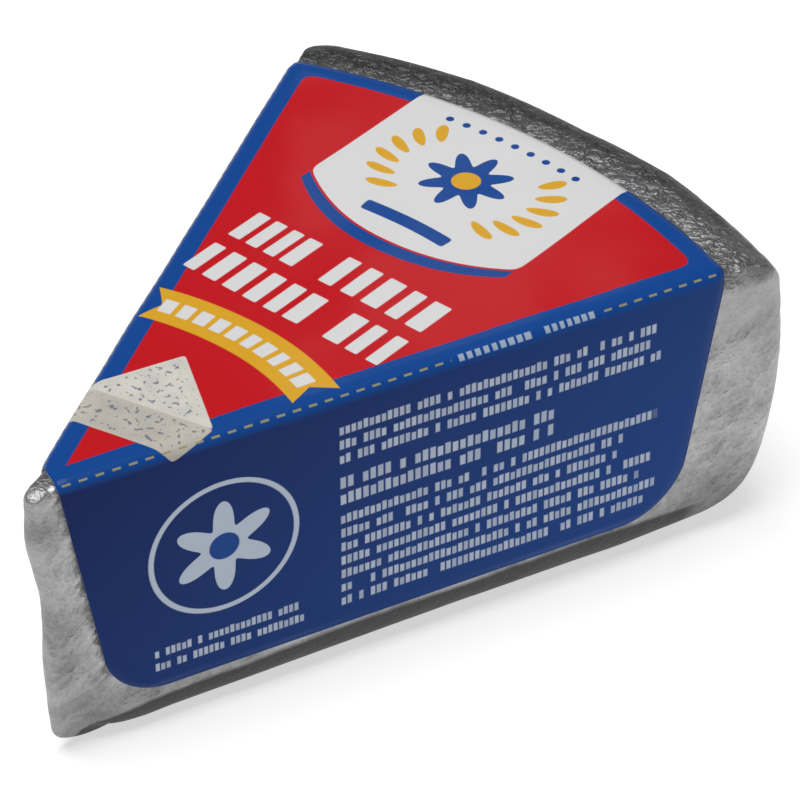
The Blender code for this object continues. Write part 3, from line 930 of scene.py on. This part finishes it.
class Print:
    """What is printed on the unfolded label, built up ink by ink."""

    def __init__(self, finish):
        self.finish, self.colour = finish, BLUE
        self.sheet = finish.node("ShaderNodeUVMap", {"uv_map": PRINT_MAP}, {})
        self.x, self.y = [
            finish.node("ShaderNodeSeparateXYZ", {}, {0: self.sheet}, output) * SHEET_SIDE + start
            for output, start in (("X", SHEET_LEFT), ("Y", SHEET_FOOT))
        ]
        from_apex = self.y - (FLAT_APEX - APEX_Y) / MM
        self.depth = abs(self.x) * COS - from_apex * SIN  # past the nearer fold
        self.along = abs(self.x) * SIN + from_apex * COS  # that fold
        self.radius = (self.x - LABEL_SHIFT / MM).away(self.y)  # of the label's curved edge

    def lay(self, ink, distance, strength=None, blur=PRINT_BLUR):
        """Prints ink where the signed distance is below nought."""
        mask = distance.inside(blur)
        if strength is not None:
            mask = mask * strength
        self.colour = self.finish.mixed(self.colour, ink, mask)

    def specks(self, size, detail=3.0):
        return self.finish.noise(self.sheet, size / SHEET_SIDE, detail)


def bar(along, across, start, end, middle, height, corner=0.3):
    """Signed distance from a bar with round corners."""
    length = abs(along - (start + end) / 2) - (end - start) / 2
    return length.rounded_most(abs(across - middle) - height / 2, corner)


def round_foot(across, y, foot):
    """Signed distance from a circle, given by its lowest point and its radius."""
    lowest, radius = foot
    return across.away(y - lowest - radius) - radius


def rosette(away, turn, petals, radius, swing):
    """Signed distance, roughly, from a flower of so many petals."""
    return away - (radius + swing * (turn * petals).cosine())


def half_plane(x, y, start, end):
    """Signed distance from the line through two points, below nought on its right."""
    run, rise = end[0] - start[0], end[1] - start[1]
    length = math.hypot(run, rise)
    offset = (rise * start[0] - run * start[1]) / length
    return y * (run / length) - x * (rise / length) + offset


def polygon(x, y, corners, rounding):
    """Signed distance from a shape whose corners are listed clockwise."""
    sides = [half_plane(x, y, a, b) for a, b in zip(corners, corners[1:] + corners[:1])]
    distance = sides[0]
    for side in sides[1:]:
        distance = distance.rounded_most(side, rounding)
    return distance


def word_blocks(art, along, across, words, middle, height, pitch, ink=WHITE):
    """Blocks, one for each letter that a word would have; words are given by their ends."""
    for start, end in words:
        count = round((end - start) / pitch)
        step = (end - start) / count
        place = (along - start) / step
        chance = art.finish.chance(place.floor() + round(10 * start))
        block = abs(place - place.floor() - 0.5) - (BLOCK_LEAST + BLOCK_SPREAD * chance) / 2
        within = bar(along, across, start, end, middle, height)
        art.lay(ink, (block * step).rounded_most(within, BLOCK_CORNER * height))


def small_print(art, side, ink, rows):
    """Rows of blocks down a flap, in runs as long as words, with a ragged right end."""
    finish, seed, height = art.finish, rows.seed, rows.height
    row = ((art.depth - rows.first) / rows.pitch + 0.5).floor()
    line = abs(art.depth - rows.first - row * rows.pitch) - height / 2
    block = abs(row - (rows.rows - 1) / 2) - rows.rows / 2
    along = art.along if side > 0 else LEFT_FLAP_START - art.along
    row_end = rows.end - rows.ragged * finish.chance(row + seed)
    width = LETTER_PITCH * height
    place = (along - rows.start) / width
    length = (rows.start - along).most((place.floor() + 1) * width + rows.start - row_end)
    odds = finish.chance(place.floor() + row * ROW_SEEDS + seed)
    letter = (abs(place - place.floor() - 0.5) - LETTER_WIDTH / 2) * width
    low = LOW_LETTER * height * (odds - LOW_LETTERS).inside(HAIR_BLUR)
    rise = (rows.first + row * rows.pitch - art.depth) - height / 2 + low
    gap = (WORD_GAPS - odds) * GAP_STEEPNESS
    distance = line.most(block).most(length).most(letter).most(rise).most(gap)
    strength = INK_MIDDLE + INK_SPREAD * (odds * STRENGTH_SEEDS).within(1)
    art.lay(ink, distance.most(-side * art.x), strength)


def colour_fields(art):
    """The flaps' darker blue, which is painted shade, the red panel, and the white field with a blue
    band under it.
    """
    # painted shade on the flaps, darkest by the fold and the nose, fading along the fold and with
    # depth
    fading = short_of(art.along + NAVY_SLANT * art.depth, NAVY_FADE)
    art.lay(FLAP_SHADE_NAVY, NAVY_START - art.depth, NAVY_LEAST + (1 - NAVY_LEAST) * fading, NAVY_BLUR)
    in_panel = art.radius - PANEL_RADIUS
    art.lay(RED, (art.depth + PANEL_MARGIN).rounded_most(in_panel, PANEL_CORNER))
    middle, half = FIELD_SPAN
    across = art.x - middle
    field = (abs(across) - half).rounded_most(round_foot(across, art.y, FIELD_FOOT), FIELD_CORNER)
    band = (abs(across) - half + BAND_INSET).most(round_foot(across, art.y, BAND_FOOT))
    art.lay(BLUE, band)
    art.lay(RED, (field - FIELD_LINE).most(in_panel))
    art.lay(WHITE, field)


def crest(art):
    """A plain flower between two sprigs of leaves, over a blank bar and under an arc of dots."""
    x, y = art.x - FIELD_SPAN[0], art.y - CREST_Y
    away, turn = x.away(y), x.angle(y)
    art.lay(BLUE, rosette(away, turn, FLOWER_PETALS, FLOWER_RADIUS, FLOWER_SWING))
    art.lay(YELLOW, away - FLOWER_HEART)
    x = SPRIG_SQUEEZE * x
    beyond, turn = x.away(y) - SPRIG_RADIUS, abs(x.angle(y))
    spread = (turn - LEAF_START).within(LEAF_PITCH) * SPRIG_RADIUS
    leaf = (spread * LEAF_NARROW + beyond * LEAF_SLANT).away(beyond * LEAF_LONG) - LEAF_RADIUS
    sprig = abs(turn - SPRIG_MIDDLE) - LEAF_PITCH * SPRIG_LEAVES / 2
    art.lay(YELLOW, leaf.most(sprig))
    around = art.x.angle(art.y)
    art.lay(BLUE, bar(around * CREST_BAR_RADIUS, art.radius, *CREST_BAR))
    row = around * DOTS_RADIUS - DOTS_MIDDLE
    dots = row.within(DOT_PITCH).away(art.radius - DOTS_RADIUS) - DOT_RADIUS
    art.lay(BLUE, dots.most(abs(row) - DOTS_HALF))


def title_blocks(art):
    for middle, words in TITLE_LINES:
        word_blocks(art, art.x, art.y, words, middle, TITLE_HEIGHT, TITLE_PITCH)


def ribbon(art):
    """A yellow ribbon with notched ends, bent round the nose's side of the title."""
    x, y = art.x - RIBBON_CENTRE[0], art.y - RIBBON_CENTRE[1]
    across = x.away(y) - RIBBON_RADIUS
    along = x.angle(y) * RIBBON_RADIUS
    start, end = RIBBON_ENDS
    length = abs(along - (start + end) / 2) - (end - start) / 2
    notch = length + RIBBON_NOTCH - abs(across) * (RIBBON_NOTCH / RIBBON_HALF)
    art.lay(YELLOW, notch.most(abs(across) - RIBBON_HALF))
    word_blocks(art, along, across, (RIBBON_WORD,), 0, RIBBON_LETTER, RIBBON_PITCH)


def wedge_picture(art):
    """A plain drawing of a wedge of blue cheese: its top, its cut face and its veins."""
    top = polygon(art.x, art.y, [PICTURE_TIP, PICTURE_BACK, PICTURE_HEEL], PICTURE_CORNER)
    foot = [(x, y - PICTURE_DROP) for x, y in (PICTURE_HEEL, PICTURE_TIP)]
    face = polygon(art.x, art.y, [PICTURE_TIP, PICTURE_HEEL, *foot], PICTURE_CORNER)
    art.lay(IVORY_SHADE, face)
    art.lay(IVORY, top)
    drawn = face.least(top) + VEIN_MARGIN
    for size, slope, level, strength, blur in VEINS:
        art.lay(VEIN, (slope * (level - art.specks(size))).most(drawn), strength, blur)


def fold_lines(art):
    """Dashes along both folds, and in a gap between those of the right one two words of small
    blocks."""
    dash = abs((art.along - DASH_MIDDLE).within(DASH_PITCH)) - DASH_LENGTH / 2
    line = dash.most(abs(art.depth) - DASH_WIDTH / 2)
    ends = (DASH_ENDS[0] - art.along).most(art.along - DASH_ENDS[1])
    gap = bar(art.along, art.depth, *FOLD_WORDS_GAP).most(-art.x)
    art.lay(DASH_YELLOW, line.most(ends).most(-gap))
    on_right = art.along - OUT_OF_SIGHT * art.x.least(0)
    word_blocks(
        art, on_right, art.depth, FOLD_WORDS, 0, FOLD_LETTER, FOLD_LETTER_PITCH, FAINT_INK
    )


def right_flap(art):
    """A ring with a plain star of petals in it, and four paragraphs."""
    x, y = art.along - RING_PLACE[0], art.depth - RING_PLACE[1]
    away, turn = x.away(y), x.angle(y)
    ring_line = abs(away - RING_RADIUS) - RING_HALF
    star = rosette(away, turn, STAR_PETALS, STAR_RADIUS, STAR_SWING)
    art.lay(SILVER_INK, ring_line.most(-art.x), RING_STRENGTH)
    art.lay(SILVER_INK, star.most(-art.x), RING_STRENGTH)
    art.lay(BLUE, (away - STAR_HEART).most(-art.x))
    for rows in RIGHT_PARAGRAPHS:
        small_print(art, 1, SILVER_INK, rows)


def left_flap(art):
    """A white panel ruled in rows, with a paragraph beside it."""
    panel = bar(art.along, art.depth, *RULED_PANEL).most(art.x)
    art.lay(WHITE, panel)
    rule = abs((art.depth - RULE_START).within(RULE_PITCH)) - RULE_WIDTH / 2
    art.lay(BLUE, rule.most(panel + RULE_MARGIN))
    small_print(art, -1, BLUE, PANEL_PARAGRAPH)
    small_print(art, -1, SILVER_INK, LEFT_PARAGRAPH)


# ---------------------------------------------------------------- floor, light and camera


def studio_floor():
    finish = material("pale_floor")
    finish.surface(
        Base_Color=FLOOR_GREY, Roughness=0.9, Specular_IOR_Level=0.1,
        Emission_Color=FLOOR_GLOW, Emission_Strength=0.60,
    )
    half = FLOOR_SIDE / 2
    corners = [(-half, -half, 0), (half, -half, 0), (half, half, 0), (-half, half, 0)]
    floor = made_piece("floor", corners, [(0, 1, 2, 3)], finish.made)


def studio_world():
    """Pale round the horizon and dim above, as in a studio with its lights off the walls."""
    world = Finish(bpy.data.worlds.new("studio"), "Background")
    place = world.node("ShaderNodeTexCoord", {}, {}, output="Generated")
    rise = world.node("ShaderNodeSeparateXYZ", {}, {0: place}, output="Z")
    world.surface(Color=world.node("ShaderNodeValToRGB", {"stops": SKY_LEVELS}, {0: rise}))
    bpy.context.scene.world = world.made


def softbox(name, azimuth, elevation, distance, side, power):
    """A square light that faces the wedge."""
    data = bpy.data.lights.new(name, "AREA")
    data.shape = "SQUARE"
    data.size = side
    data.energy = power
    made = bpy.data.objects.new(name, data)
    azimuth, elevation = math.radians(azimuth), math.radians(elevation)
    turn = Matrix.Rotation(azimuth, 4, "Z") @ Matrix.Rotation(math.pi / 2 - elevation, 4, "X")
    made.matrix_world = turn @ Matrix.Translation((0, 0, distance))
    bpy.context.scene.collection.objects.link(made)


def photo_camera():
    data = bpy.data.cameras.new("camera")
    data.lens, data.sensor_width = CAMERA_LENS, CAMERA_SENSOR
    data.clip_start = 0.01
    camera = bpy.data.objects.new("camera", data)
    turn = Matrix.Rotation(CAMERA_AZIMUTH, 4, "Z")
    turn = turn @ Matrix.Rotation(math.pi / 2 - CAMERA_ELEVATION, 4, "X")
    turn = turn @ Matrix.Rotation(CAMERA_ROLL, 4, "Z")
    camera.matrix_world = Matrix.Translation(CAMERA_TARGET) @ turn @ Matrix.Translation(
        (0, 0, CAMERA_DISTANCE)
    )
    bpy.context.scene.collection.objects.link(camera)
    bpy.context.scene.camera = camera


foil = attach(wrapping_foil(foil_finish()), "root")
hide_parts("foil_wedge")

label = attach(folded_label(label_finish()), "root")
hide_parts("label")

studio_floor()
studio_world()
softbox("overhead", azimuth=338, elevation=80, distance=1.6, side=1.1, power=27.5)
softbox("window", azimuth=218.5, elevation=37.5, distance=1.5, side=0.14, power=0.16)
photo_camera()
bpy.context.scene.view_settings.view_transform = "Standard"
